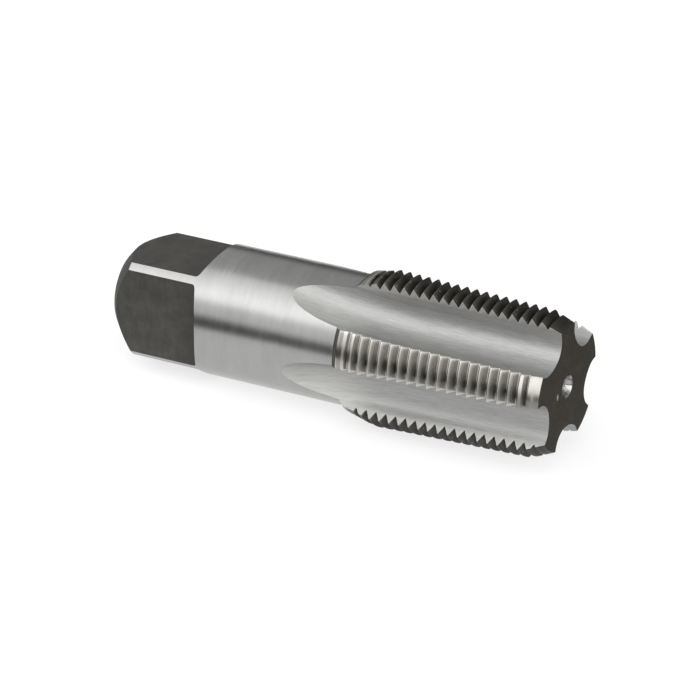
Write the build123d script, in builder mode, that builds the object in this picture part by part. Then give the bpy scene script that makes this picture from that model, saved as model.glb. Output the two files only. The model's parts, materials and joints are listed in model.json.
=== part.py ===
from build123d import *
from math import acos, asin, atan2, ceil, cos, degrees, radians, sin, tan
import os

# Taper pipe thread tap: one piece of ground tool steel.
#
# The tool is modelled standing on its square end, with its axis along +Z, the deepest
# line of its first flute on the +X side and every size in millimetres. It is then laid
# down as it comes to rest on a flat table: on the edge of its shank and on the edges of
# the two lands beside the first flute, which faces down, with the square end towards -X
# and the cutting end towards +X.

# Overall sizes
overall_length = 83.17
shank_diameter = 23.0

# Driving square
square_flats = 17.25  # across flats
square_length = 18.42  # from the end to the middle of each flat's shoulder
square_turn = 1.07  # from the first flute's deepest line to the middle of a flat
shoulder_cutter_radius = 21.0  # the disc that mills each flat leaves an arched shoulder
shoulder_corner_radius = 0.5
end_face_diameter = 14.76
end_chamfer_length = 3.83
end_chamfer_crown = 0.08  # the turned chamfer is slightly round

# Taper thread, 14 to the inch, with a taper of 1 in 16 on the diameter
threads_per_inch = 14
taper = 1 / 16
front_major_diameter = 25.4  # the crests' cone carried on to the front face
thread_depth = 1.354
flank_angle = 60.0
root_width = 0.125
groove_height = 50.73  # where the groove crosses the first flute's deepest line

# Ends of the thread
thread_back = 45.12  # height where the shank steps up to the thread
back_step_height = 0.9
back_lead_angle = 15.0  # of the cone that cuts the first threads short
front_chamfer_length = 3.8  # taper ground on the entering threads
front_chamfer_depth = 1.7

# Flutes, ground by a wheel that lifts out into the shank
flute_count = 5
flute_core_diameter = 14.5
land_face_angle = 13.5  # from the middle of a land to its radial cutting face
flute_middle_angle = 33.0  # from the middle of a land to the flute's deepest line
flute_back_radius = 6.24
flute_straight_end = 60.47  # height where the wheel begins to lift
wheel_radius = 78.0

# Centre holes, from turning and grinding between centres
centre_hole_diameter = 4.0
centre_hole_angle = 60.0
pilot_diameter = 1.6
pilot_depth = 3.5

# Worked out from the sizes above
shank_radius = shank_diameter / 2
pitch = 25.4 / threads_per_inch
cone_slope = taper / 2
cone_angle = degrees(atan2(cone_slope, 1))
square_half = square_flats / 2


def crest_radius(height):
    """Radius of the crests' cone at a height above the square end."""
    return front_major_diameter / 2 + (overall_length - height) * cone_slope


# Blank: shank, thread body and both end chamfers in one turned profile
step_radius = shank_radius + back_step_height
lead_start = thread_back + back_step_height
lead_slope = tan(radians(back_lead_angle))
lead_end = lead_start + (crest_radius(lead_start) - step_radius) / (lead_slope + cone_slope)
chamfer_start = overall_length - front_chamfer_length
front_radius = crest_radius(chamfer_start) - front_chamfer_depth

with BuildPart() as tap:
    with BuildSketch(Plane.XZ):
        with BuildLine():
            end_chamfer = SagittaArc(
                (end_face_diameter / 2, 0),
                (shank_radius, end_chamfer_length),
                -end_chamfer_crown,
            )
            Polyline(
                end_chamfer @ 1,
                (shank_radius, thread_back),
                (step_radius, lead_start),
                (crest_radius(lead_end), lead_end),
                (crest_radius(chamfer_start), chamfer_start),
                (front_radius, overall_length),
                (0, overall_length),
                (0, 0),
                end_chamfer @ 0,
            )
        make_face()
    revolve(axis=Axis.Z)

# Square: one disc cutter for each flat, with rounded teeth at its rim
cutter_width = shank_radius
with BuildPart() as flat_cutter:
    flat_plane = Plane(
        origin=(square_half, 0, square_length - shoulder_cutter_radius),
        x_dir=(0, 1, 0),
        z_dir=(1, 0, 0),
    )
    with BuildSketch(flat_plane):
        Circle(shoulder_cutter_radius)
    extrude(amount=cutter_width)
    fillet(flat_cutter.edges().sort_by(Axis.X)[0], radius=shoulder_corner_radius)

with tap:
    with PolarLocations(0, 4, start_angle=square_turn):
        add(flat_cutter.part, mode=Mode.SUBTRACT)

# Thread: a truncated V groove swept along a conical helix and cut from the blank. It is
# cut one turn at a time, and the turns meet in the first flute, which takes the seam away
groove_clearance = 0.08  # the groove's section stands this far out of the crests' cone
groove_top = thread_depth + groove_clearance
groove_half_root = root_width / 2
groove_half_top = groove_half_root + groove_top * tan(radians(flank_angle / 2))
turns_below = ceil((groove_height - thread_back) / pitch)
turns_above = ceil((overall_length - groove_height) / pitch)

with tap:
    for turn in range(-turns_below, turns_above + 1):
        turn_height = groove_height + turn * pitch
        root_radius = crest_radius(turn_height) - thread_depth
        with BuildLine() as turn_path:
            Helix(
                pitch=pitch / cos(radians(cone_angle)),
                height=pitch,
                radius=root_radius,
                center=(0, 0, turn_height),
                cone_angle=-cone_angle,
            )
        groove_plane = Plane((root_radius, 0, turn_height), x_dir=(1, 0, 0), z_dir=(0, -1, 0))
        with BuildSketch(groove_plane):
            with BuildLine():
                Polyline(
                    (0, -groove_half_root),
                    (groove_top, -groove_half_top),
                    (groove_top, groove_half_top),
                    (0, groove_half_root),
                    close=True,
                )
            make_face()
        sweep(path=turn_path.line, is_frenet=True, mode=Mode.SUBTRACT)

# Flute: a radial cutting face, a toe arc to the deepest line and a back arc to the heel
face_angle = flute_middle_angle - land_face_angle
face_sine = sin(radians(face_angle))
core_radius = flute_core_diameter / 2
toe_radius = core_radius * face_sine / (1 - face_sine)
flute_reach = shank_radius + 6.0  # outer edge of the wheel's section, clear of the crests
back_reach = core_radius + flute_back_radius
wheel_centre = core_radius + wheel_radius
lift_angle = 25.0  # the wheel is clear of the shank before it has swung this far
end_clearance = 1.0

with BuildPart() as flute:
    section_plane = Plane(
        origin=(0, 0, flute_straight_end), x_dir=(0, -1, 0), z_dir=(0, 0, 1)
    )
    with BuildSketch(section_plane) as wheel_section:
        with BuildLine():
            back_arc = CenterArc((0, back_reach), flute_back_radius, 180, 90)
            toe_arc = CenterArc((0, core_radius + toe_radius), toe_radius, 270, 90 - face_angle)
            Polyline(
                toe_arc @ 1,
                (flute_reach * tan(radians(face_angle)), flute_reach),
                (-flute_back_radius, flute_reach),
                back_arc @ 0,
            )
        make_face()
    extrude(amount=overall_length - flute_straight_end + end_clearance)
    revolve(
        wheel_section.sketch,
        axis=Axis((wheel_centre, 0, flute_straight_end), (0, -1, 0)),
        revolution_arc=lift_angle,
    )


def flute_lift(height):
    """How far the wheel has lifted from the core at a height above the square end."""
    reach = max(flute_straight_end - height, 0)
    return wheel_radius - (wheel_radius**2 - reach**2) ** 0.5


def face_from_middle(height, radius):
    """Angle from the flute's deepest line to its cutting face, in degrees."""
    return face_angle - degrees(asin(flute_lift(height) * face_sine / radius))


def heel_from_middle(height, radius):
    """Angle from the flute's deepest line to the heel of the next land, in degrees."""
    arc_centre = back_reach + flute_lift(height)
    cosine = (radius**2 + arc_centre**2 - flute_back_radius**2) / (2 * radius * arc_centre)
    return degrees(acos(cosine))


# Rest: the widest full crests carry two lands, on each side of the flute that faces down
rest_radius = crest_radius(lead_end)
face_gap = face_from_middle(lead_end, rest_radius)
heel_gap = heel_from_middle(lead_end, rest_radius)
rest_roll = (heel_gap - face_gap) / 2  # from the first flute's deepest line to straight down
land_drop = rest_radius * cos(radians((heel_gap + face_gap) / 2))
rest_tilt = atan2(land_drop - shank_radius, lead_end - square_length)

with tap:
    with PolarLocations(0, flute_count):
        add(flute.part, mode=Mode.SUBTRACT)

# Centre holes: a countersink and a pilot in each end
sink_radius = centre_hole_diameter / 2
sink_depth = (sink_radius - pilot_diameter / 2) / tan(radians(centre_hole_angle / 2))
front_face_plane = Plane((0, 0, overall_length))
square_face_plane = Plane(origin=(0, 0, 0), x_dir=(1, 0, 0), z_dir=(0, 0, -1))

with BuildPart() as centre_drill:
    with BuildSketch(Plane.XZ):
        with BuildLine():
            Polyline(
                (0, end_clearance),
                (sink_radius, end_clearance),
                (sink_radius, 0),
                (pilot_diameter / 2, -sink_depth),
                (pilot_diameter / 2, -pilot_depth),
                (0, -pilot_depth),
                close=True,
            )
        make_face()
    revolve(axis=Axis.Z)

with tap:
    with Locations(front_face_plane, square_face_plane):
        add(centre_drill.part, mode=Mode.SUBTRACT)

# Lay the tool down, with the bottom middle of its box at the origin
lying = Plane(
    origin=(0, 0, 0),
    x_dir=(sin(rest_tilt), 0, -cos(rest_tilt)),
    z_dir=(cos(rest_tilt), 0, sin(rest_tilt)),
)
pipe_tap = tap.part.rotate(Axis.Z, -rest_roll).moved(lying.location)
box = pipe_tap.bounding_box()
pipe_tap = pipe_tap.moved(Location((-box.center().X, -box.center().Y, -box.min.Z)))
pipe_tap.label = "pipe_tap"

os.makedirs("parts", exist_ok=True)
export_step(pipe_tap, "parts/pipe_tap.step")

print(f"tilt at rest {degrees(rest_tilt):.3f} degrees, roll {rest_roll:.2f} degrees")
print(f"square end centre at x {-box.center().X:.3f}, y {-box.center().Y:.3f}, z {-box.min.Z:.3f}")
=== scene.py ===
import json
import math
import bmesh
import bpy
import numpy as np
from mathutils import Matrix, Vector


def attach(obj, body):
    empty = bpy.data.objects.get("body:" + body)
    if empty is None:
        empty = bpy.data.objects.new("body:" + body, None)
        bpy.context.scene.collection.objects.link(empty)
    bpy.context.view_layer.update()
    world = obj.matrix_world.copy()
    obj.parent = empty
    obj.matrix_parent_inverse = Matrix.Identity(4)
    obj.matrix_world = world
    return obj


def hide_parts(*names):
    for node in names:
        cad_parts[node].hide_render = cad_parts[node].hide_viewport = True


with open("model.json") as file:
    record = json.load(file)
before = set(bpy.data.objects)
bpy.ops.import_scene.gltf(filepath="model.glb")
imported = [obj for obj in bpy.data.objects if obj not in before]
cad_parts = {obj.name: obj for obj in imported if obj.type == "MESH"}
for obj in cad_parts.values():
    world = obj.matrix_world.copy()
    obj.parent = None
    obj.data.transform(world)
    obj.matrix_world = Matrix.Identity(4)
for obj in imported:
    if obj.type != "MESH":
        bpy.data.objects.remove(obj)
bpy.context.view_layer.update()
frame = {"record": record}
mounts = {m["name"]: m for m in frame["record"]["mounts"]}
print("frame loaded")

mm = 0.001

# the tool's own sizes as the part has them, in millimetres; stations count from the square end
tap = {
    "length": 83.17,
    "shankRadius": 11.5,
    "flatHalf": 8.625,  # half of the driving square
    "flatTurn": 1.07,  # degrees from the first flute's deepest line to the first flat's middle
    "squareLength": 18.42,
    "shoulderCutter": 21.0,  # radius of the disc that mills the flats
    "shoulderCorner": 0.5,
    "endRadius": 7.38,
    "endChamfer": 3.83,
    "endCrown": 0.08,
    "pitch": 25.4 / 14,
    "taper": 1 / 16,
    "frontMajor": 25.4,
    "threadDepth": 1.354,
    "rootWidth": 0.125,
    "grooveStart": 50.73,  # where the groove crosses the first flute's deepest line
    "threadBack": 45.12,
    "backStep": 0.9,
    "leadAngle": 15.0,
    "frontChamfer": 3.8,
    "frontChamferDepth": 1.7,
    "flutes": 5,
    "coreRadius": 7.25,
    "faceAngle": 19.5,  # degrees from a flute's deepest line back to its radial cutting face
    "heelAngle": 27.3,  # and on to the heel of the next land
    "backArc": 6.24,
    "fluteStraight": 60.47,
    "wheelRadius": 78.0,
    "holeRadius": 2.0,
    "holeAngle": 60.0,
    "pilotRadius": 0.8,
    "pilotDepth": 3.5,
    "relief": 0.18,  # the heel of each land is ground this much lower
    "reliefPower": 1.5,  # how late across the land the relief sets in
    "heelLean": 0.42,  # the teeth's sides at the heel lean this far into the flute at their roots
    "leanStart": 0.5,  # radians along the back arc until the lean is whole
    "leanFade": 1.8,  # thread depths under the roots until it has gone
    "edgeRound": 0.05,  # the lands' edges are worn by this much
    "edgeWidth": 0.3,
    "onset": 3.0,  # relief, wear and lean grow over the first threads
    # how finely the surfaces are divided
    "joinStation": 26.2,  # the square's columns meet the flutes' columns on this ring
    "plainStations": (29.2, 32.2),  # rings on to the flutes' tips
    "runoutRows": 18,
    "turnsWithRows": (-3, 18),  # first and last turn of the groove on the tool
    "sectionReach": 11.0,  # a flute's section is searched this far from its deepest line
    "fluteEnd": 0.4,  # a flute's columns end this far under the thread's roots
    "fluteColumns": 26,
    "landColumns": 12,
    "flatColumns": 17,
    "chamferRings": 5,
    "flatRings": 9,
    "shoulderRings": (1.6, 2.6),  # past the rounded corner, in corner radii
    "shankShares": (0.33, 0.66, 1.0),  # of the way from the shoulder to the join
    "faceRings": (6.2, 4.0),  # on both end faces, from the edge in to the hole
}

tanHalfFlank = math.tan(math.radians(30))
faceTurn = math.radians(tap["faceAngle"])
toeArc = tap["coreRadius"] * math.sin(faceTurn) / (1 - math.sin(faceTurn))
backReach = tap["coreRadius"] + tap["backArc"]
wheelCentre = tap["coreRadius"] + tap["wheelRadius"]
between = 360 / tap["flutes"]


def crestRadius(s):  # a cone, 1 in 16 on the diameter, that widens from the front face back
    return tap["frontMajor"] / 2 + (tap["length"] - s) * tap["taper"] / 2


leadStart = tap["threadBack"] + tap["backStep"]
stepRadius = tap["shankRadius"] + tap["backStep"]
leadSlope = math.tan(math.radians(tap["leadAngle"]))
leadEnd = leadStart + (crestRadius(leadStart) - stepRadius) / (leadSlope + tap["taper"] / 2)
chamferStart = tap["length"] - tap["frontChamfer"]
frontRadius = crestRadius(chamferStart) - tap["frontChamferDepth"]
runoutTip = tap["fluteStraight"] - math.sqrt(
    tap["wheelRadius"] ** 2 - (wheelCentre - tap["shankRadius"]) ** 2)


def blankRadius(s):  # the turned bar: straight runs between the stations of its profile
    stations = [0, tap["endChamfer"], tap["threadBack"], leadStart,
                leadEnd, chamferStart, tap["length"]]
    radii = [tap["endRadius"], tap["shankRadius"], tap["shankRadius"], stepRadius,
             crestRadius(leadEnd), crestRadius(chamferStart), frontRadius]
    return np.interp(s, stations, radii)


def grooveMiddle(angle, turn):  # the groove climbs one pitch a turn
    return tap["grooveStart"] + tap["pitch"] * (angle / 360 + turn)


def ease(x):  # 0 up to 0 and 1 from 1 on, smooth between
    x = np.clip(x, 0, 1)
    return x * x * (3 - 2 * x)


def threaded(s):  # 0 behind the thread and 1 past its onset
    return ease((s - leadStart) / tap["onset"])


def landRadius(angle, s, share):
    # the lower of the bar and the nearest turn of the V groove, less the relief that grows from
    # the cutting face (share 1) to the heel (share 0), less the wear within edgeWidth of each edge
    middle = grooveMiddle(angle, np.round((s - grooveMiddle(angle, 0)) / tap["pitch"]))
    root = crestRadius(middle) - tap["threadDepth"]
    flank = (np.abs(s - middle) - tap["rootWidth"] / 2).clip(0) / tanHalfFlank
    bar = blankRadius(s)
    radius = np.where(s > leadStart, np.minimum(bar, root + flank), bar)
    relief = tap["relief"] * (1 - share) ** tap["reliefPower"]
    return radius - threaded(s) * (relief + tap["edgeRound"] * edgeShare(share))


landWidth = crestRadius(leadEnd) * math.radians(between - tap["faceAngle"] - tap["heelAngle"])
edgePart = tap["edgeWidth"] / landWidth


def edgeShare(share):  # 1 on an edge of the land, falling as a square to 0 at edgeWidth from it
    return (1 - share / edgePart).clip(0) ** 2 + (1 - (1 - share) / edgePart).clip(0) ** 2


plainRows = np.concatenate([
    [tap["joinStation"], *tap["plainStations"]],
    runoutTip + (tap["threadBack"] - runoutTip) * np.linspace(0, 1, tap["runoutRows"]) ** 2,
    [leadStart],
])
firstTurn, lastTurn = tap["turnsWithRows"]
turnRows = 7  # rowStations names them
grooveTurns = np.repeat(np.arange(firstTurn, lastTurn + 1), turnRows)
grooveParts = np.tile(np.arange(turnRows), lastTurn + 1 - firstTurn)


def rowStations(angle):
    # rows by columns: plain rings up to the thread, then for each turn of the groove at this angle
    # its lower edge, flank's middle, root's two edges, flank's middle, upper edge and the crest's
    # middle, then the front face
    plain = plainRows.reshape((-1,) + (1,) * (angle.ndim - 1)) + 0 * angle[: plainRows.size]
    at = angle[plainRows.size : -1]
    turns = grooveTurns.reshape((-1,) + (1,) * (angle.ndim - 1))
    parts = grooveParts.reshape(turns.shape)
    middle = grooveMiddle(at, turns)
    root = crestRadius(middle) - tap["threadDepth"]
    low, high = middle - tap["rootWidth"] / 2, middle + tap["rootWidth"] / 2
    crestLow, crestHigh = low, high
    for _ in range(14):  # the flank meets the bar where both have one radius
        crestLow = low - tanHalfFlank * (blankRadius(crestLow) - root).clip(0)
        crestHigh = high + tanHalfFlank * (blankRadius(crestHigh) - root).clip(0)
    stations = np.choose(parts + 0 * turns, [
        crestLow, (crestLow + low) / 2, low, high, (high + crestHigh) / 2, crestHigh,
        middle + tap["pitch"] / 2])
    stations = stations.clip(leadStart, tap["length"])
    return np.concatenate([plain, stations, 0 * angle[:1] + tap["length"]])


rowCount = plainRows.size + grooveTurns.size + 1


def flutePoint(along, s):
    # along is the length on the wheel's section from its deepest line, below 0 towards the cutting
    # face and above 0 towards the heel; behind the straight part the wheel swings out on its radius
    toe = (along / toeArc).clip(faceTurn - math.pi / 2, 0)
    back = (along / tap["backArc"]).clip(0, math.pi / 2)
    straight = (-along - toeArc * (math.pi / 2 - faceTurn)).clip(0)
    side = np.where(along > 0, tap["backArc"] * np.sin(back),
                    toeArc * np.sin(toe) - straight * math.sin(faceTurn))
    depth = np.where(along > 0, backReach - tap["backArc"] * np.cos(back),
                     tap["coreRadius"] + toeArc * (1 - np.cos(toe)) + straight * math.cos(faceTurn))
    swing = (tap["fluteStraight"] - s).clip(0)
    out = wheelCentre - np.sqrt((wheelCentre - depth) ** 2 - swing**2)
    # at the heel the wall leans in evenly from the crests down to the roots, then eases back
    below = (crestRadius(s) - np.hypot(out, side)).clip(0) / tap["threadDepth"]
    lean = np.where(below < 1, below, 1 - ease((below - 1) / tap["leanFade"])) * threaded(s)
    side = side - np.where(along > 0, tap["heelLean"] * lean * ease(back / tap["leanStart"]), 0)
    return np.hypot(out, side), np.degrees(np.arctan2(side, out))


def fluteReach(direction, s, radiusAt):
    # how far along the section, to the face (-1) or the heel (1), it comes out at radiusAt, by
    # halving the stretch that holds it
    near, far = np.zeros_like(s), np.full_like(s, tap["sectionReach"])
    for _ in range(40):
        middle = (near + far) / 2
        radius, angle = flutePoint(direction * middle, s)
        inside = radius < radiusAt(angle, s)
        near, far = np.where(inside, middle, near), np.where(inside, far, middle)
    return direction * near


def landEdge(middle, direction):
    # one edge of a land, row by row: its angle, station and radius. middle is the angle of the
    # deepest line of the flute beside it, and direction is 1 for the heel after that flute and -1
    # for the face before it
    share = 0.0 if direction > 0 else 1.0
    angle = np.full(rowCount, middle + (tap["heelAngle"] if direction > 0 else -tap["faceAngle"]))
    for _ in range(4):  # the angle moves the rows, and the rows the angle
        s = rowStations(angle)
        along = fluteReach(direction, s,
                           lambda a, z: landRadius(middle + a, z, np.full_like(a, share)))
        radius, turn = flutePoint(along, s)
        angle = middle + turn
    return angle, s, np.minimum(radius, landRadius(angle, s, np.full_like(angle, share)))


def innerRadius(angle, s):  # a cone just under the thread's root, and the bar itself behind it
    under = np.minimum(blankRadius(s), crestRadius(s) - tap["threadDepth"])
    return under - tap["fluteEnd"] * threaded(s)


fluteStride = 20  # on the surface map the flutes lie this many millimetres apart


def cutterRings():
    # angle, station and radius as rows by columns, columns going round: flute, land, flute, land.
    # the last array says where a column is on its own surface: the length across a flute's section,
    # or the share of a land's width from its heel
    shares = np.concatenate([[0, edgePart / 2, edgePart],
                             np.linspace(0, 1, tap["landColumns"] + 2)[1:-1],
                             [1 - edgePart, 1 - edgePart / 2, 1]])
    part = np.linspace(0, 1, tap["fluteColumns"])
    columns, kinds, places = [], [], []
    heels = [landEdge(between * k, 1) for k in range(tap["flutes"])]
    faces = [landEdge(between * (k + 1), -1) for k in range(tap["flutes"])]
    for k in range(tap["flutes"]):
        heelAngle, heelStation, heelRadius = heels[k]
        faceAngle, faceStation, faceRadius = faces[k]
        before = faces[k - 1][1]
        low = fluteReach(-1, before, innerRadius)
        high = fluteReach(1, heelStation, innerRadius)
        along = low[:, None] + (high - low)[:, None] * part
        s = before[:, None] + (heelStation - before)[:, None] * part
        radius, turn = flutePoint(along, s)
        radius = np.where(high[:, None] > low[:, None] + 1e-6, radius, innerRadius(turn, s))
        columns.append((between * k + turn, s, radius))
        kinds += ["flute"] * tap["fluteColumns"]
        places.append(along + fluteStride * k)
        angle = heelAngle[:, None] + (faceAngle - heelAngle)[:, None] * shares
        s = rowStations(angle)
        radius = landRadius(angle, s, np.broadcast_to(shares, s.shape))
        s[:, 0], s[:, -1] = heelStation, faceStation
        radius[:, 0], radius[:, -1] = heelRadius, faceRadius
        columns.append((angle, s, radius))
        kinds += ["land"] * (shares.size - 1) + ["face"]
        places.append(0 * s + shares)
    angle, s, radius = [np.concatenate([c[i] for c in columns], 1) for i in range(3)]
    return angle, s, radius, np.array(kinds), np.concatenate(places, 1)


def holeRings(angle, s, way):
    # from the last ring in to the centre hole: a flat face, the countersink, then the pilot and
    # its floor
    sink = (tap["holeRadius"] - tap["pilotRadius"]) / math.tan(math.radians(tap["holeAngle"] / 2))
    radii = [*tap["faceRings"], tap["holeRadius"], tap["pilotRadius"], tap["pilotRadius"], 0.0]
    depths = [0, 0, 0, sink, tap["pilotDepth"], tap["pilotDepth"]]
    one = np.ones_like(angle)
    return [np.stack([angle, s + way * d * one, r * one]) for r, d in zip(radii, depths)]


def squareRings():
    # columns round the square, each a profile from the end face up: chamfer, flat, corner and
    # shoulder. they stand close together where the rounded corner comes out of the shank
    cornerOut = tap["flatHalf"] + tap["shoulderCorner"] * np.array([0, 0.08, 0.25, 0.55, 1])
    edges = np.degrees(np.arccos(cornerOut / tap["shankRadius"]))
    corner = edges[0]
    turns = np.concatenate([[-45, -(45 + corner) / 2], -edges[:-1],
                            np.linspace(-edges[-1], edges[-1], tap["flatColumns"]), edges[-2::-1],
                            [(45 + corner) / 2]])
    offset = np.radians(np.tile(turns, 4))
    angle = np.degrees(offset) + tap["flatTurn"] + np.repeat(np.arange(4) * 90, turns.size)
    flat = np.minimum(tap["flatHalf"] / np.cos(offset), tap["shankRadius"])
    slope = (tap["shankRadius"] - tap["endRadius"]) / tap["endChamfer"]

    def crown(s):
        return tap["endCrown"] * 4 * (s / tap["endChamfer"]) * (1 - s / tap["endChamfer"])

    start = (flat - tap["endRadius"]) / slope
    for _ in range(4):  # where the crowned chamfer is as far out as the flat
        start = (flat - tap["endRadius"] - crown(start)) / slope
    rings = []
    for t in np.linspace(0, 1, tap["chamferRings"]):
        s = start * t
        rings.append(np.stack([angle, s, tap["endRadius"] + slope * s + crown(s)]))
    # the cutter's rim: a disc about an axis along the flat's outward direction, its corner rounded
    axisStation = tap["squareLength"] - tap["shoulderCutter"]
    outward = tap["shankRadius"] * np.cos(offset)
    cornerEnd = tap["flatHalf"] + tap["shoulderCorner"]
    rounded = 1 - np.cos(np.linspace(0, np.pi / 2, 6))
    rise = np.concatenate([rounded, tap["shoulderRings"]]) * tap["shoulderCorner"]
    foot = None
    for step in rise:
        x = np.minimum(tap["flatHalf"] + step, np.maximum(outward, tap["flatHalf"]))
        x = np.where(outward < tap["flatHalf"], outward, x)
        if step == rise[-1]:
            x = outward
        rest = (cornerEnd - x).clip(0, tap["shoulderCorner"])
        reach = (tap["shoulderCutter"] - tap["shoulderCorner"]
                 + np.sqrt(tap["shoulderCorner"] ** 2 - rest**2))
        y = x * np.tan(offset)
        s = axisStation + np.sqrt(reach**2 - y**2)
        if foot is None:
            foot = s
            for t in np.linspace(0, 1, tap["flatRings"])[1:-1]:
                rings.append(np.stack([angle, start + (foot - start) * t, flat]))
        rings.append(np.stack([angle, s, x / np.cos(offset)]))
    last = rings[-1]
    for t in tap["shankShares"]:
        s = last[1] + (tap["joinStation"] - last[1]) * t
        rings.append(np.stack([angle, s, np.full_like(s, tap["shankRadius"])]))
    return rings


def zipRings(lowAngles, highAngles):
    # triangles between two rings of different counts: going round, the ring whose next point comes
    # first moves on, and its edge is joined to the other ring's last point
    low, high = lowAngles % 360, highAngles % 360
    lowOrder, highOrder = np.argsort(low), np.argsort(high)
    low, high = low[lowOrder], high[highOrder]
    lowNext, highNext = np.roll(lowOrder, -1), np.roll(highOrder, -1)
    lowMeets = highOrder[(np.searchsorted(high, np.roll(low, -1), side="left") - 1) % high.size]
    highMeets = lowOrder[(np.searchsorted(low, np.roll(high, -1), side="right") - 1) % low.size]
    return (np.stack([lowOrder, lowNext, lowMeets], 1),
            np.stack([highNext, highOrder, highMeets], 1))


# the tool's place in the frame, by the record's mounts: its end, its axis, the direction to the
# flat that faces down and the one to the first flute's deepest line
toolOrigin = Vector(mounts["square_centre"]["pos_m"])
toolAxis = Vector(mounts["front_centre"]["axis"]).normalized()
lowerFlat = Vector(mounts["lower_flat"]["axis"])


def squareToAxis(direction):
    return (direction - toolAxis * direction.dot(toolAxis)).normalized()


toolAcross = squareToAxis(lowerFlat)
fluteAcross = squareToAxis(
    Matrix.Rotation(math.radians(-tap["flatTurn"]), 3, toolAxis) @ lowerFlat)


def toolPlace(angle, s, radius):
    # from the tool's own angle, station and radius to the frame
    beside = toolAxis.cross(fluteAcross)
    turned = np.radians(angle)
    return (np.array(toolOrigin) + mm * (s[..., None] * np.array(toolAxis)
            + (radius * np.cos(turned))[..., None] * np.array(fluteAcross)
            + (radius * np.sin(turned))[..., None] * np.array(beside)))


# the order of the finishes on the body
slots = {"blackOxide": 0, "groundShank": 1, "groundFlute": 2, "groundThread": 3,
         "frontFace": 4, "centreHole": 5}


def buildTap():
    # two grids of rings, the fluted part with its front face and the square with its end face, and
    # the triangles that join them. each quad gets its finish, and its place on its own surface
    angle, s, radius, kinds, place = cutterRings()
    rings = [np.stack([angle[j], s[j], radius[j]]) for j in range(rowCount)]
    # on the front face each flute's columns spread evenly, so that the face's quads stay whole
    spread = angle[-1].copy()
    for k in range(tap["flutes"]):
        first = k * (kinds.size // tap["flutes"])
        spread[first : first + tap["fluteColumns"]] = between * k + np.linspace(
            -tap["faceAngle"] + 1, tap["heelAngle"] - 1, tap["fluteColumns"])
    rings += holeRings(spread, s[-1], -1)
    front = np.stack(rings)  # rings, (angle, station, radius), columns
    square = squareRings()
    endRings = holeRings(square[0][0], square[0][1] * 0, 1)
    square = np.stack(endRings[::-1] + square)
    points = np.concatenate([toolPlace(grid[:, 0], grid[:, 1], grid[:, 2]).reshape(-1, 3)
                             for grid in (front, square)])
    frontCount, squareCount = front.shape[2], square.shape[2]
    base = front.shape[0] * frontCount

    def quads(rows, columns, offset):
        row = np.arange(rows - 1)[:, None] * columns + offset
        here, beside = np.arange(columns), (np.arange(columns) + 1) % columns
        return np.stack([row + here, row + beside, row + beside + columns,
                         row + here + columns], -1)

    frontQuads = quads(front.shape[0], frontCount, 0)
    squareQuads = quads(square.shape[0], squareCount, base)
    lastSquare = base + (square.shape[0] - 1) * squareCount
    lowTriangles, highTriangles = zipRings(square[-1][0], front[0][0])
    keep = highTriangles[:, 0] != highTriangles[:, 1]
    low = lowTriangles + np.array([lastSquare, lastSquare, 0])
    high = highTriangles[keep] + np.array([0, 0, lastSquare])
    landQuad = kinds == "land"
    frontKind = np.where(landQuad, slots["groundThread"], slots["groundFlute"])
    kind = np.repeat(frontKind[None], front.shape[0] - 1, 0)
    behind = (front[:-1, 1].mean(1) < tap["threadBack"] - 1e-3)[:, None]
    kind = np.where(behind & landQuad[None], slots["groundShank"], kind)
    faceRows = len(tap["faceRings"]) + 1
    kind[rowCount - 1 :] = slots["frontFace"]
    kind[rowCount - 1 + faceRows :] = slots["centreHole"]
    squareKind = np.full((square.shape[0] - 1, squareCount), slots["blackOxide"])
    squareKind[: len(endRings) - faceRows] = slots["centreHole"]
    # the shank, and the stripes of it that two columns on each side leave between the flats
    shankRows = len(tap["shankShares"])
    flatRow = len(endRings) + tap["chamferRings"] - 1
    stripe = np.tile(np.arange(squareCount // 4), 4)
    stripe = (stripe < 2) | (stripe > squareCount // 4 - 3)
    squareKind[-shankRows:] = slots["groundShank"]
    squareKind[flatRow:-shankRows, stripe] = slots["groundShank"]
    # each quad's corners on their own surface: across it, and along it in millimetres, or on a land
    # in turns of the thread
    turns = (s - grooveMiddle(angle, 0)) / tap["pitch"]
    spots = np.stack([place, np.where(kinds != "flute", turns, s)], -1)
    spots = np.concatenate([spots, np.repeat(spots[-1:], front.shape[0] - rowCount, 0)])
    onward = np.roll(spots, -1, 1)
    corners = np.stack([spots[:-1], onward[:-1], onward[1:], spots[1:]], 2)
    return points, frontQuads, squareQuads, low, high, kind, squareKind, corners


points, frontQuads, squareQuads, low, high, kind, squareKind, corners = buildTap()
faces = [*frontQuads.reshape(-1, 4).tolist(), *squareQuads.reshape(-1, 4).tolist(),
         *low.tolist(), *high.tolist()]
joinKind = np.full(len(low) + len(high), slots["groundShank"])
kinds = np.concatenate([kind.ravel(), squareKind.ravel(), joinKind])
mesh = bpy.data.meshes.new("tapBody")
mesh.from_pydata(points.tolist(), [], faces)
mesh.polygons.foreach_set("material_index", kinds.astype(np.int32))
surface = mesh.uv_layers.new(name="surface")
places = np.zeros((len(mesh.loops), 2), np.float32)
places[: corners.size // 2] = corners.reshape(-1, 2)
surface.uv.foreach_set("vector", places.ravel())
mesh.update()
body = bpy.data.objects.new("tapBody", mesh)
bpy.context.scene.collection.objects.link(body)
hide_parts("pipe_tap")
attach(body, "root")
bm = bmesh.new()
bm.from_mesh(mesh)
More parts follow.
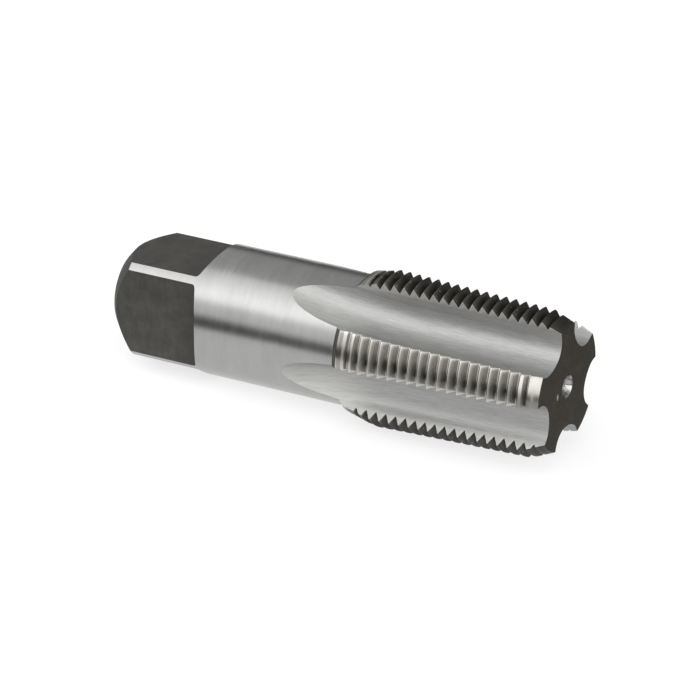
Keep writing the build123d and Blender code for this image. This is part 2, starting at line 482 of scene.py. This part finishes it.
# rows that ran together become one
bmesh.ops.remove_doubles(bm, verts=bm.verts, dist=2e-7)
bmesh.ops.dissolve_degenerate(bm, edges=bm.edges, dist=1e-7)
for face in bm.faces:
    face.smooth = True
crispFrom = math.radians(28)
for edge in bm.edges:  # ground surfaces meet in crisp edges
    linked = edge.link_faces
    edge.smooth = (len(linked) == 2 and linked[0].material_index == linked[1].material_index
                   and edge.calc_face_angle(0) < crispFrom)
print("tap body", len(bm.verts), "vertices", len(bm.faces), "faces",
      "volume", bm.calc_volume(signed=True) * 1e9, "cubic millimetres")
bm.to_mesh(mesh)
bm.free()


class Strand:
    # one value in a finish's nodes; arithmetic on it adds Math nodes
    def __init__(self, finish, socket):
        self.finish, self.socket = finish, socket

    def maths(self, operation, *values, clamp=False):
        settings = {"operation": operation, "use_clamp": clamp}
        return self.finish.node("ShaderNodeMath", settings, *values)

    def __add__(self, other):
        return self.maths("ADD", self, other)

    def __sub__(self, other):
        return self.maths("SUBTRACT", self, other)

    def __rsub__(self, other):
        return self.maths("SUBTRACT", other, self)

    def __mul__(self, other):
        return self.maths("MULTIPLY", self, other)

    def __truediv__(self, other):
        return self.maths("DIVIDE", self, other)

    def __rtruediv__(self, other):
        return self.maths("DIVIDE", other, self)

    def __pow__(self, other):
        return self.maths("POWER", self, other)

    def __neg__(self):
        return self.maths("MULTIPLY", self, -1.0)

    __radd__, __rmul__ = __add__, __mul__

    def size(self):
        return self.maths("ABSOLUTE", self)

    def part(self):  # what is left past the last whole number
        return self.maths("FRACT", self)

    def clip(self):
        return self.maths("ADD", self, 0.0, clamp=True)

    def ramp(self, low, high):  # 0 at low and 1 at high, smooth between
        settings = {"interpolation_type": "SMOOTHSTEP"}
        return self.finish.node("ShaderNodeMapRange", settings, self, low, high, 0.0, 1.0)


class Finish:
    # a material, and the nodes that make its finish
    def __init__(self, name):
        self.material = bpy.data.materials.new(name)
        self.material.use_nodes = True
        self.tree = self.material.node_tree
        self.shader = self.tree.nodes["Principled BSDF"]
        self.sink = self.tree.nodes["Material Output"]

    def put(self, socket, value):
        if isinstance(value, Strand):
            self.tree.links.new(value.socket, socket)
        elif isinstance(value, tuple) and len(value) == 3 and socket.type == "RGBA":
            socket.default_value = (*value, 1.0)
        else:
            socket.default_value = value

    def node(self, kind, settings=None, *values, give=0, **named):
        # a node of this kind, its settings first, then its sockets by order or by name
        made = self.tree.nodes.new(kind)
        for name, value in (settings or {}).items():
            setattr(made, name, value)
        for socket, value in zip(made.inputs, values):
            if value is not None:
                self.put(socket, value)
        for name, value in named.items():
            self.put(made.inputs[name], value)
        return Strand(self, made.outputs[give])

    def mix(self, factor, low, high):
        skipped = [None] * 5  # the node's number and vector sockets
        return self.node("ShaderNodeMix", {"data_type": "RGBA"},
                         factor, *skipped, low, high, give=2)

    def vector(self, x, y, z):
        return self.node("ShaderNodeCombineXYZ", None, x, y, z)

    def noise(self, vector, scale, detail=3.0, rough=0.6):
        return self.node("ShaderNodeTexNoise", None, vector, None, scale, detail, rough)

    def bump(self, height, depth):
        return self.node("ShaderNodeBump", None, Strength=1.0, Distance=depth, Height=height)

    def shade(self, **sockets):
        for name, value in sockets.items():
            self.put(self.shader.inputs[name], value)

    def parts(self, vector):
        split = self.node("ShaderNodeSeparateXYZ", None, vector)
        return [Strand(self, socket) for socket in split.socket.node.outputs]

    def toolSpot(self):
        # a point in the tool's own millimetres: the station, then towards the lower flat and beside
        turned = Matrix([toolAxis, toolAcross, toolAxis.cross(toolAcross)]).transposed().to_euler()
        spot = self.node("ShaderNodeTexCoord", give=3)  # Object
        spot = self.node("ShaderNodeMapping", {"vector_type": "TEXTURE"}, spot,
                         tuple(toolOrigin), tuple(turned), (mm, mm, mm))
        return self.parts(spot)

    def surfaceSpot(self):
        return self.parts(self.node("ShaderNodeUVMap", {"uv_map": "surface"}))[:2]


# the metal that shows, and the finish that each kind of grinding left on it
steel = {
    "dark": (0.28, 0.28, 0.276),
    "light": (0.425, 0.425, 0.418),
    "root": (0.47, 0.455, 0.42),  # the grooves of the thread
    "frostedHighlight": (0.58, 0.575, 0.55),  # the rough ground finish, lighter as a painted highlight
    "shankRoughness": 0.17,
    "shankLines": 11.0,  # across each millimetre
    "fluteRoughness": 0.47,
    "fluteFibres": 6.0,
    "fluteRunout": (43.0, 52.0),  # the stations between which the coarser run-out ends
    "threadRoughness": 0.17,
    "threadLines": 26.0,  # in each turn
    "lineDepth": 0.000006,  # metres, as bump takes it
    "fibreDepth": 0.000026,
    "unshadedLand": 255,  # degrees round from the lower flat to the one land without the painted shade
    "unshadedReach": (0.55, 0.75),  # how far towards that land the painted shade ends
    "holeRoughness": 0.14,
    "holeRings": 8.0,
}
# the black oxide, and the near-black colours of the painted shade on the thread's lands
oxide = {
    "black": (0.024, 0.023, 0.020),
    "worn": (0.072, 0.070, 0.062),
    # these two are the painted shade on the thread's lands: nearly black, lighter towards the
    # unshaded land
    "thread": (0.012, 0.011, 0.0085),
    "threadHalfShade": (0.036, 0.034, 0.026),
    "face": (0.020, 0.0175, 0.0130),
    "rust": (0.034, 0.023, 0.014),
    "roughness": 0.42,
    "faceRoughness": 0.65,
    "cutterStreaks": 3.2,  # in each millimetre of the milled flats
    "streakDepth": 0.00002,
    "grainDepth": 0.00003,
    "shoulderShade": (11.0, 19.0),  # the flats darken between these stations
    "dingMiddle": (0.5, -3.64),  # millimetres from the hole's middle, to the lower flat and beside
    "dingSize": (0.62, 0.36),
}


def groundShank():
    # lines of the grinding wheel run round the shank, with broad lapped patches under them
    finish = Finish("groundShank")
    s, across, beside = finish.toolSpot()
    lines = finish.noise(
        finish.vector(s * steel["shankLines"], across * 0.22, beside * 0.22), 1.0, 3.0)
    patches = finish.noise(finish.vector(s * 0.3, across * 0.12, beside * 0.12), 1.0, 2.0)
    tone = (lines * 0.55 + patches * 0.6 - 0.1).clip()
    finish.shade(**{
        "Base Color": finish.mix(tone, steel["dark"], steel["light"]),
        "Roughness": steel["shankRoughness"] + lines * 0.10 + patches * 0.05,
        "Metallic": 1.0,
        "Normal": finish.bump(lines, steel["lineDepth"]),
    })
    return finish.material


def groundFlute():
    # short fibres run along the flute and follow the wheel as it lifts out. there, towards the heel
    # side of the flute's section, they are coarser and rougher, and the colour is lighter as a
    # painted highlight
    finish = Finish("groundFlute")
    across, along = finish.surfaceSpot()
    fine = finish.noise(
        finish.vector(across * steel["fluteFibres"], along * 0.35, 0.0), 1.0, 4.0, 0.7)
    broad = finish.noise(finish.vector(across * 1.3, along * 0.03, 3.0), 1.0, 2.0)
    slanted = finish.vector(across * 16.0 + along * 0.35, along * 0.16, 7.0)
    scratch = finish.noise(slanted, 1.0, 2.0).ramp(0.62, 0.72)
    section = (across / fluteStride + 0.25).part() * fluteStride - fluteStride / 4
    # the run-out's heel side: rougher, and lighter as a painted highlight
    runoutFrostAndHighlight = (1.0 - along.ramp(*steel["fluteRunout"])) * section.ramp(-2.0, 3.0)
    tone = (fine * 2.0 + broad * 0.9 - 0.95 + scratch * 0.4).clip()
    plain = finish.mix(tone, steel["dark"], steel["light"])
    finish.shade(**{
        "Base Color": finish.mix(runoutFrostAndHighlight * (tone * 0.5 + 0.3), plain, steel["frostedHighlight"]),
        "Roughness": steel["fluteRoughness"] + fine * 0.12 + runoutFrostAndHighlight * 0.12,
        "Metallic": 1.0,
        "Normal": finish.bump(fine + scratch * 0.5, steel["fibreDepth"]),
    })
    return finish.material


def groundThread():
    # lines run round the lands in the grooves; crests and edges are rougher, and lighter as a
    # painted highlight. all lands but one carry a painted shade that is almost black, and the step
    # behind the thread is darkened the same way
    finish = Finish("groundThread")
    share, turns = finish.surfaceSpot()
    s, across, beside = finish.toolSpot()
    towards = math.radians(steel["unshadedLand"])
    facing = (across * math.cos(towards) + beside * math.sin(towards)) / tap["shankRadius"]
    phase = turns.part()  # 0 in the middle of the groove, 0.5 on the crest
    lines = finish.noise(
        finish.vector(share * 0.9, turns * steel["threadLines"], 0.0), 1.0, 2.0)
    blots = finish.noise(finish.vector(share * 3.0, turns * 1.5, 5.0), 1.0, 2.0)
    specks = finish.noise(finish.vector(s, across, beside), 2.2, 1.0).ramp(0.70, 0.78) * 0.6
    # where on a land: its crests, its two edges, and the chamfer of the entering threads
    crest = phase.ramp(0.42, 0.47) * (1.0 - phase.ramp(0.5, 0.95))
    chamfer = s.ramp(chamferStart - 0.1, chamferStart + 0.3)
    heel, face = (1.0 - share.ramp(0.0, 0.12)) * crest, (1.0 - share).ramp(0.13, 0.02)
    # painted highlight: the crests, the heel's edge and the cutting face's edge are made lighter,
    # and rougher
    frostAndHighlight = (crest * 0.5 + heel * 0.9 + face * 0.2 + lines * 0.3 - 0.12).clip()
    # painted shade, nearly black: on the step, and from the first turns on over every land but the
    # one at unshadedLand
    step = (s.ramp(tap["threadBack"] - 0.15, tap["threadBack"])
            * (1.0 - s.ramp(leadStart + 0.1, leadStart + 0.4)))
    landShade = ((1.0 - facing.ramp(*steel["unshadedReach"])) * (1.0 - specks)
            * s.ramp(leadStart - 1.0, leadStart + 2.6))
    landShade = ((landShade + step * facing.ramp(-0.6, 0.6)).clip() * (0.85 + lines * 0.25)).clip()
    # painted shade: patchy dark blots on one flank towards the cutting face, darker roots in the
    # grooves, and a shade over the chamfer that deepens towards the cutting face and in its first
    # shallow roots
    grooveShade = (share.ramp(0.3, 0.6) * (1.0 - share).ramp(0.08, 0.25)
             * phase.ramp(0.6, 0.95) * blots.ramp(0.3, 0.65) * 0.85)
    grooveShade = (grooveShade + (1.0 - phase.ramp(0.36, 0.43)) * 0.38) * (1.0 - chamfer)
    shallow = ((phase - 0.5).size().ramp(0.34, 0.45)
               * (1.0 - s.ramp(chamferStart + 0.9, chamferStart + 1.5)))
    grooveShade = grooveShade + (shallow * 0.45 + share.ramp(0.1, 1.0) * 0.3 + 0.3) * chamfer
    plain = finish.mix(frostAndHighlight, steel["root"], steel["frostedHighlight"])
    # the painted shade's colour, lighter on the lands towards the unshaded one
    black = finish.mix(facing.ramp(0.3, 0.6), oxide["thread"], oxide["threadHalfShade"])
    finish.shade(**{
        "Base Color": finish.mix((landShade + grooveShade).clip(), plain, black),
        "Roughness": steel["threadRoughness"] + lines * 0.08 + frostAndHighlight * 0.2 + landShade * 0.2,
        "Metallic": 1.0 - landShade * 0.9,
        "Specular IOR Level": 0.2,
        "Normal": finish.bump(lines, steel["lineDepth"]),
    })
    return finish.material


def blackOxide():
    # milled flats under a thin black oxide, finely streaked across by the cutter and faintly
    # mottled, darkest in the corner of the shoulder and on the turned chamfer
    finish = Finish("blackOxide")
    s, across, beside = finish.toolSpot()
    mottle = finish.noise(finish.vector(s, across, beside), 0.35, 6.0, 0.7)
    streaks = finish.noise(
        finish.vector(s * oxide["cutterStreaks"], across * 0.3, beside * 0.3), 1.0, 3.0)
    # the chamfer is what lies on its cone, or a little inside it where the crown is lowest
    radius = (across * across + beside * beside) ** 0.5
    slope = (tap["shankRadius"] - tap["endRadius"]) / tap["endChamfer"]
    turned = (radius - (s * slope + (tap["endRadius"] - 0.16))).ramp(0.0, 0.1)
    shaded = 1.0 - s.ramp(*oxide["shoulderShade"]) * 0.55
    tone = (mottle.ramp(0.3, 0.75) * 0.5 + streaks * 0.5 - 0.1).clip() * shaded * (1.0 - turned)
    finish.shade(**{
        "Base Color": finish.mix(tone, oxide["black"], oxide["worn"]),
        "Roughness": oxide["roughness"] + mottle * 0.15 + turned * 0.1,
        "Metallic": (1.0 - turned) * 0.35,
        "Normal": finish.bump(streaks, oxide["streakDepth"]),
    })
    return finish.material


def frontFace():
    # the black face at the cutting end, faintly brown in places, with one small bright ding by
    # the hole
    finish = Finish("frontFace")
    s, across, beside = finish.toolSpot()
    mottle = finish.noise(finish.vector(s, across, beside), 0.35, 5.0, 0.6)
    grain = finish.noise(finish.vector(s, across, beside), 5.0, 3.0)
    (dingAcross, dingBeside), (dingLong, dingWide) = oxide["dingMiddle"], oxide["dingSize"]
    away = (((across - dingAcross) / dingLong) ** 2.0
            + ((beside - dingBeside) / dingWide) ** 2.0)
    ding = (1.0 - away.ramp(0.1, 1.3)) * 0.6
    plain = finish.mix(mottle.ramp(0.45, 0.75), oxide["face"], oxide["rust"])
    plain = finish.mix(grain.ramp(0.35, 0.75) * 0.6, plain, oxide["worn"])
    finish.shade(**{
        "Base Color": finish.mix(ding, plain, steel["light"]),
        "Roughness": oxide["faceRoughness"] + grain * 0.15 - ding * 0.2,
        "Metallic": ding,
        "Specular IOR Level": 0.08,
        "Normal": finish.bump(grain, oxide["grainDepth"]),
    })
    return finish.material


def centreHole():
    # turned rings, with black oxide left in patches
    finish = Finish("centreHole")
    s, across, beside = finish.toolSpot()
    rings = finish.noise(
        finish.vector(s * steel["holeRings"], across * 0.5, beside * 0.5), 1.0, 2.0)
    left = finish.noise(finish.vector(s, across, beside), 0.7, 3.0).ramp(0.42, 0.62) * 0.75
    bright = finish.mix(rings, steel["dark"], steel["light"])
    finish.shade(**{
        "Base Color": finish.mix(left, bright, oxide["black"]),
        "Roughness": steel["holeRoughness"] + rings * 0.1,
        "Metallic": 1.0 - left * 0.6,
        "Normal": finish.bump(rings, oxide["grainDepth"]),
    })
    return finish.material


# in the order of the body's slots
for finishOf in (blackOxide, groundShank, groundFlute, groundThread, frontFace, centreHole):
    mesh.materials.append(finishOf())
print("finishes made")


# the floor and the light: a white sheet lies square to the camera, a little wider than the
# picture, under a tent of white cloth whose walls are lit unevenly and whose foot is dark
studio = {
    "floorWidth": 0.156,
    "floorDepth": 0.6,
    "floorTurn": 27.996,
    "floorColour": (0.8, 0.8, 0.8),
    "floorWhite": 0.66,  # how much of the floor's white is its own; the rest takes the shadow
    "floorGlow": 1.1,
    "tentRadius": 3.0,
    "tentRows": 48,
    "tentColumns": 96,
    # the cloth's brightness, from the back over the top to the camera's side
    "back": 0.46,
    "keyEdge": 1.62,
    "key": 2.5,
    "fill": 1.15,
    "sideFill": 2.7,  # brighter past the cutting end, on the camera's side
    "horizon": 0.05,
    "backEnds": 1.3,  # brighter past both ends at the back
    "backHorizon": 0.10,
    # where one brightness passes into the next, in degrees from straight up to the camera's side
    "toKeyEdge": (-12.0, 8.0),
    "toKey": (6.0, 44.0),
    "toFill": (47.0, 61.0),
    "toHorizon": (77.0, 86.0),
    "toBackHorizon": (62.0, 82.0),  # the same on the back
    # and as shares of the tent's radius towards the cutting end
    "toBackEnds": (0.44, 0.7),
    "toSideFill": (-0.3, 0.3),
}


def stagePiece(name, vertices, faces, material, **seen):
    shape = bpy.data.meshes.new(name)
    shape.from_pydata(vertices, [], faces)
    piece = bpy.data.objects.new(name, shape)
    bpy.context.scene.collection.objects.link(piece)
    piece.data.materials.append(material)
    for ray, visible in seen.items():
        setattr(piece, ray, visible)


def sheet(wide, deep, turn):  # a flat rectangle on z = 0, its width turned from the x axis
    c, s = math.cos(math.radians(turn)), math.sin(math.radians(turn))
    corners = [(i * wide / 2, j * deep / 2) for i, j in ((-1, -1), (1, -1), (1, 1), (-1, 1))]
    return [(x * c - y * s, x * s + y * c, 0.0) for x, y in corners], [(0, 1, 2, 3)]


floorFinish = Finish("whiteFloor")
floorFinish.shade(**{"Base Color": studio["floorColour"], "Roughness": 0.9})
path = floorFinish.node("ShaderNodeLightPath")  # its first output is Is Camera Ray
seen = (path + Strand(floorFinish, path.socket.node.outputs["Is Glossy Ray"])
        + Strand(floorFinish, path.socket.node.outputs["Is Transmission Ray"])).clip()
white = floorFinish.node("ShaderNodeEmission", None,
                         Color=(1.0, 1.0, 1.0), Strength=studio["floorGlow"])
floorShader = floorFinish.node("ShaderNodeMixShader", None, seen * studio["floorWhite"],
                               Strand(floorFinish, floorFinish.shader.outputs[0]), white)
floorFinish.put(floorFinish.sink.inputs["Surface"], floorShader)
floorSheet = sheet(studio["floorWidth"], studio["floorDepth"], studio["floorTurn"])
stagePiece("floor", *floorSheet, floorFinish.material)

tentFinish = Finish("tentCloth")
tentX, tentY, tentZ = tentFinish.parts(tentFinish.node("ShaderNodeTexCoord", give=3))
lean = tentFinish.node("ShaderNodeMath", {"operation": "ARCTAN2"}, -tentY, tentZ)
lean = lean * (180 / math.pi)
onward = tentX / studio["tentRadius"]
ends = onward.size().ramp(*studio["toBackEnds"])
back = studio["back"] + (studio["backEnds"] - studio["back"]) * ends
fill = (studio["fill"]
        + (studio["sideFill"] - studio["fill"]) * onward.ramp(*studio["toSideFill"]))
cloth = back + (studio["keyEdge"] - back) * lean.ramp(*studio["toKeyEdge"])
cloth = cloth + (studio["key"] - studio["keyEdge"]) * lean.ramp(*studio["toKey"])
cloth = cloth + (fill - studio["key"]) * lean.ramp(*studio["toFill"])
cloth = cloth + (studio["horizon"] - fill) * lean.ramp(*studio["toHorizon"])
cloth = cloth + (studio["backHorizon"] - back) * (-lean).ramp(*studio["toBackHorizon"])
glow = tentFinish.node("ShaderNodeEmission", None, Color=(1.0, 1.0, 1.0), Strength=cloth)
tentFinish.put(tentFinish.sink.inputs["Surface"], glow)
# a sphere: rings of equal longitude and latitude, its faces inward
rows, columns = studio["tentRows"], studio["tentColumns"]
latitude = np.linspace(-math.pi / 2, math.pi / 2, rows + 1)[:, None]
longitude = np.arange(columns)[None] * 2 * math.pi / columns
tentPoints = studio["tentRadius"] * np.stack([
    np.cos(latitude) * np.cos(longitude), np.cos(latitude) * np.sin(longitude),
    np.sin(latitude) + 0 * longitude], -1)
here, beside = np.arange(columns), (np.arange(columns) + 1) % columns
start = np.arange(rows)[:, None] * columns
tentFaces = np.stack([start + here, start + columns + here,
                      start + columns + beside, start + beside], -1)
for finish in (tentFinish, floorFinish):  # their light is found by the rays that meet them
    finish.material.cycles.emission_sampling = "NONE"
stagePiece("tent", tentPoints.reshape(-1, 3).tolist(), tentFaces.reshape(-1, 4).tolist(),
           tentFinish.material, visible_camera=False, visible_shadow=False)
print("floor and tent set up")

world = bpy.data.worlds.new("studio")
bpy.context.scene.world = world
world.use_nodes = True
backdrop = world.node_tree.nodes["Background"]
backdrop.inputs["Color"].default_value = (1.0, 1.0, 1.0, 1)
backdrop.inputs["Strength"].default_value = 1.0

# the photograph's own view
view = {
    "azimuth": 27.996,
    "elevation": 27.485,
    "roll": -1.105,
    "distance": 0.64399,
    "aim": (0.001194, -0.000772, 0.010423),
    "lens": 195.19,
}
turn, lift, roll = (math.radians(view[k]) for k in ("azimuth", "elevation", "roll"))
forward = Vector((-math.sin(turn) * math.cos(lift), math.cos(turn) * math.cos(lift),
                  -math.sin(lift)))
level = forward.cross(Vector((0, 0, 1))).normalized()
upright = level.cross(forward)
up = upright * math.cos(roll) + level * math.sin(roll)
right = forward.cross(up)
cameraData = bpy.data.cameras.new("camera")
cameraData.lens = view["lens"]
camera = bpy.data.objects.new("camera", cameraData)
stand = Vector(view["aim"]) - forward * view["distance"]
camera.matrix_world = (Matrix.Translation(stand)
                       @ Matrix((right, up, -forward)).transposed().to_4x4())
bpy.context.scene.collection.objects.link(camera)
bpy.context.scene.camera = camera
bpy.context.scene.view_settings.view_transform = "Standard"
